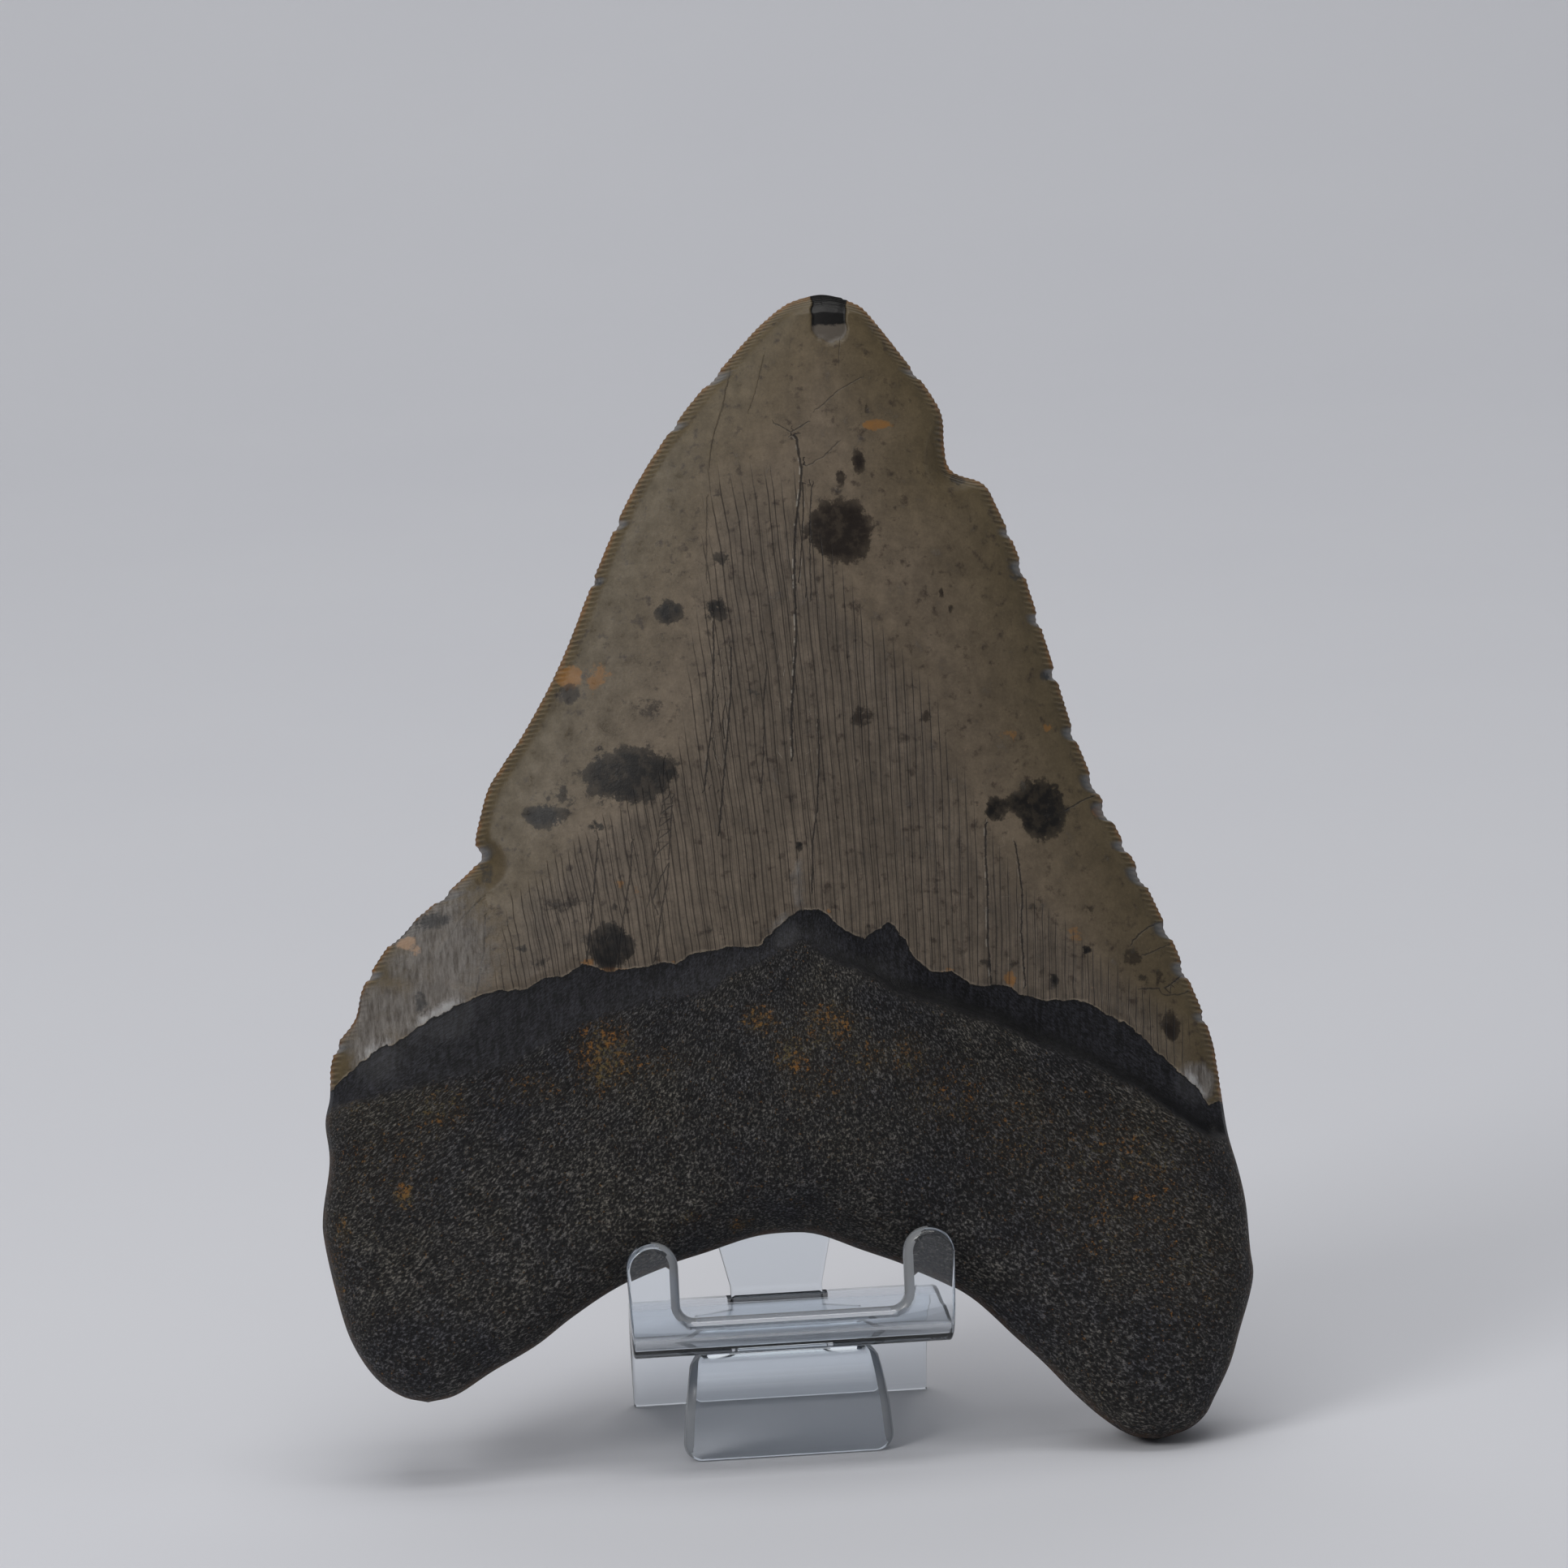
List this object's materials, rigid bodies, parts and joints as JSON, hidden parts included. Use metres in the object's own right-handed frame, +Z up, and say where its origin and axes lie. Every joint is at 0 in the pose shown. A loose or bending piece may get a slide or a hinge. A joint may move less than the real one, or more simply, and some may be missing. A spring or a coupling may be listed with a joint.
{
  "type": "megalodon tooth on a clear easel",
  "caption": "Large fossil shark tooth with a two-lobed root, leaning upright on a clear easel of interlocking bent plates.",
  "frame": {"origin": "under the middle of the bounding box, on the surface the easel stands on", "axes": "+Z up along the tooth's height, +X to the right lobe as seen from the front, +Y from the shown face to the back"},
  "size_m": [0.1108, 0.0366, 0.1369],
  "materials": {
    "fossil": "semi-gloss enamel, matt root",
    "clear_plastic": "clear, polished"
  },
  "bodies": {
    "root": {"tooth": "fossil", "cradle_plate": "clear_plastic", "easel_plate": "clear_plastic"}
  },
  "joints": []
}
